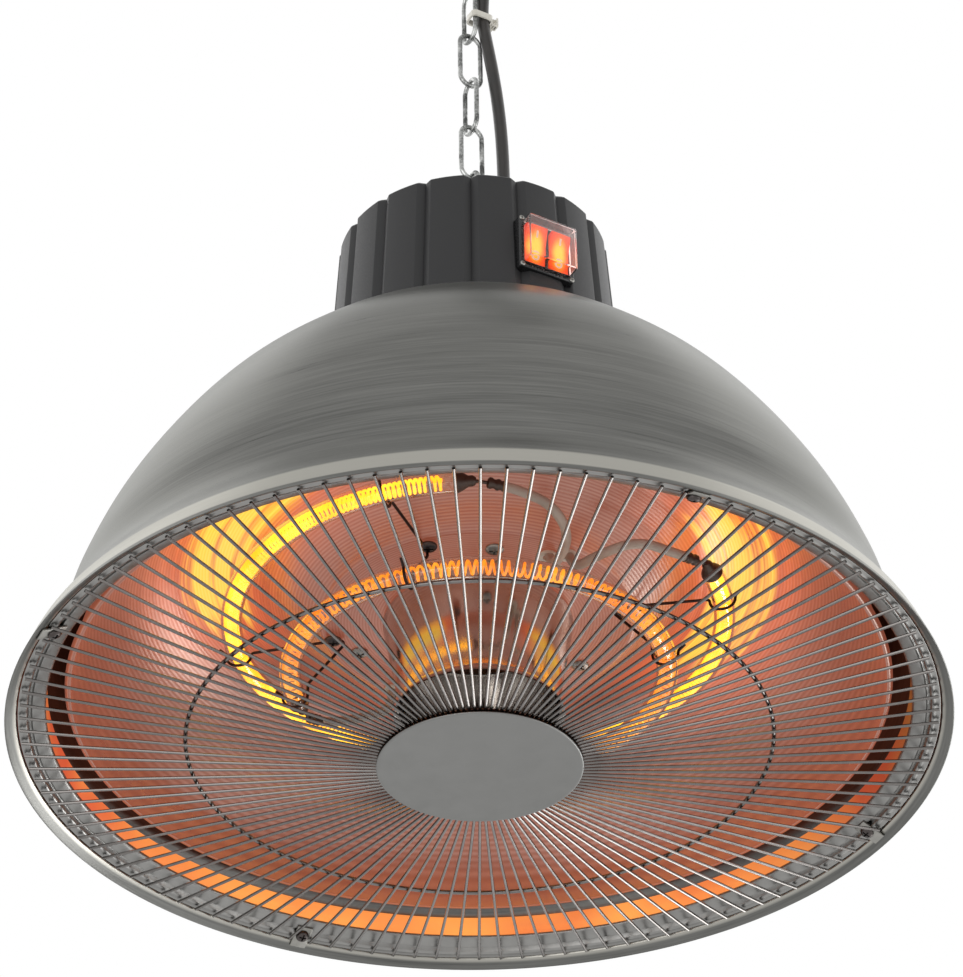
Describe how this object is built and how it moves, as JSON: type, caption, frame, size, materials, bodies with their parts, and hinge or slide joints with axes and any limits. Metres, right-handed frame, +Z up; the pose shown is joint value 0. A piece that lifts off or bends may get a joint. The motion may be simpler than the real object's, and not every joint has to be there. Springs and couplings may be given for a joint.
{
  "type": "hanging patio heater",
  "caption": "Hanging patio heater: open spun bell with two glowing ring lamps behind a wire guard, a ribbed cap with a covered rocker switch, and a chain with a snap hook.",
  "frame": {"origin": "the hanging point: top of the inside of the snap hook's bow, on the heater's axis", "axes": "+Z up along the axis, -Y the switch's side, +X to the right of it"},
  "size_m": [0.4249, 0.425, 0.6938],
  "materials": {
    "zinc_hook": "satin",
    "zinc_chain": "satin",
    "bell_aluminium": "brushed",
    "reflector_aluminium": "polished",
    "polished_steel": "polished",
    "guard_steel": "polished",
    "hub_steel": "satin",
    "black_plastic": "satin",
    "black_gloss": "gloss",
    "cord_rubber": "matte",
    "white_nylon": "satin",
    "clear_cover": "gloss",
    "red_rocker": "gloss",
    "quartz": "gloss",
    "glowing_outer": "glowing",
    "glowing_inner": "glowing",
    "seal_metal": "satin",
    "white_sleeving": "matte",
    "white_bushing": "matte",
    "plate_steel": "satin",
    "block_plastic": "matte",
    "pin_brass": "satin"
  },
  "bodies": {
    "hook": {"snap_hook": "zinc_hook", "gate_pin": "zinc_hook"},
    "hook_gate": {"hook_gate": "zinc_hook"},
    "link_top": {"chain_link_10": "zinc_chain"},
    "link_second": {"chain_link_9": "zinc_chain"},
    "rocker_left": {"rocker_left": "red_rocker"},
    "rocker_right": {"rocker_right": "red_rocker"},
    "heater": {"chain_link_1": "zinc_chain", "chain_link_2": "zinc_chain", "chain_link_3": "zinc_chain", "chain_link_4": "zinc_chain", "chain_link_5": "zinc_chain", "chain_link_6": "zinc_chain", "chain_link_7": "zinc_chain", "chain_link_8": "zinc_chain", "eye_bolt": "zinc_hook", "eye_nuts": "zinc_hook", "cap": "black_plastic", "cap_base_plate": "plate_steel", "cap_screws": "plate_steel", "terminal_block": "block_plastic", "cord_gland": "black_plastic", "switch_bezel": "black_gloss", "switch_body": "black_plastic", "switch_cover": "clear_cover", "power_cord": "cord_rubber", "cord_coil": "cord_rubber", "cord_tail": "cord_rubber", "plug": "black_gloss", "plug_pins": "pin_brass", "cable_tie_lower": "white_nylon", "cable_tie_upper": "white_nylon", "bell": "bell_aluminium", "bell_top": "bell_aluminium", "reflector": "reflector_aluminium", "reflector_hangers": "plate_steel", "centre_cup": "polished_steel", "cup_screw": "plate_steel", "outer_lamp_tube": "quartz", "outer_filament": "glowing_outer", "outer_lamp_ends": "seal_metal", "inner_lamp_tube": "quartz", "inner_filament": "glowing_inner", "inner_lamp_ends": "seal_metal", "outer_lamp_sleeves": "white_sleeving", "inner_lamp_sleeves": "white_sleeving", "sleeve_bushings": "white_bushing", "bracket_screws": "plate_steel", "guard_spokes": "guard_steel", "guard_mid_ring": "guard_steel", "guard_frame_ring": "polished_steel", "hub_plate": "hub_steel", "hub_back_plate": "hub_steel", "guard_clips": "plate_steel", "guard_clip_screws": "plate_steel", "lamp_bracket_1": "guard_steel", "lamp_bracket_2": "guard_steel", "lamp_bracket_3": "guard_steel", "lamp_bracket_4": "guard_steel"}
  },
  "joints": [
    {"name": "hook_gate_swing", "type": "hinge", "parent": "hook", "child": "hook_gate", "pos_m": [0, 0.0095, -0.037], "axis": [1, 0, 0], "range_deg": [0, 25], "stiffness_Nm_per_rad": 0.02, "springref_deg": -20.05},
    {"name": "hook_swing", "type": "hinge", "parent": "hook", "child": "link_top", "pos_m": [0, 0, -0.0525], "axis": [0, 1, 0], "range_deg": [-30, 30]},
    {"name": "chain_swing", "type": "hinge", "parent": "link_top", "child": "link_second", "pos_m": [0, 0, -0.08325], "axis": [1, 0, 0], "range_deg": [-30, 30]},
    {"name": "heater_swing", "type": "hinge", "parent": "link_second", "child": "heater", "pos_m": [0, 0, -0.11525], "axis": [0, 1, 0], "range_deg": [-30, 30]},
    {"name": "rocker_left_tilt", "type": "hinge", "parent": "heater", "child": "rocker_left", "pos_m": [-0.00643, -0.0678, -0.4382], "axis": [1, 0, 0], "range_deg": [-18, 0]},
    {"name": "rocker_right_tilt", "type": "hinge", "parent": "heater", "child": "rocker_right", "pos_m": [0.00643, -0.0678, -0.4382], "axis": [1, 0, 0], "range_deg": [-18, 0]}
  ]
}
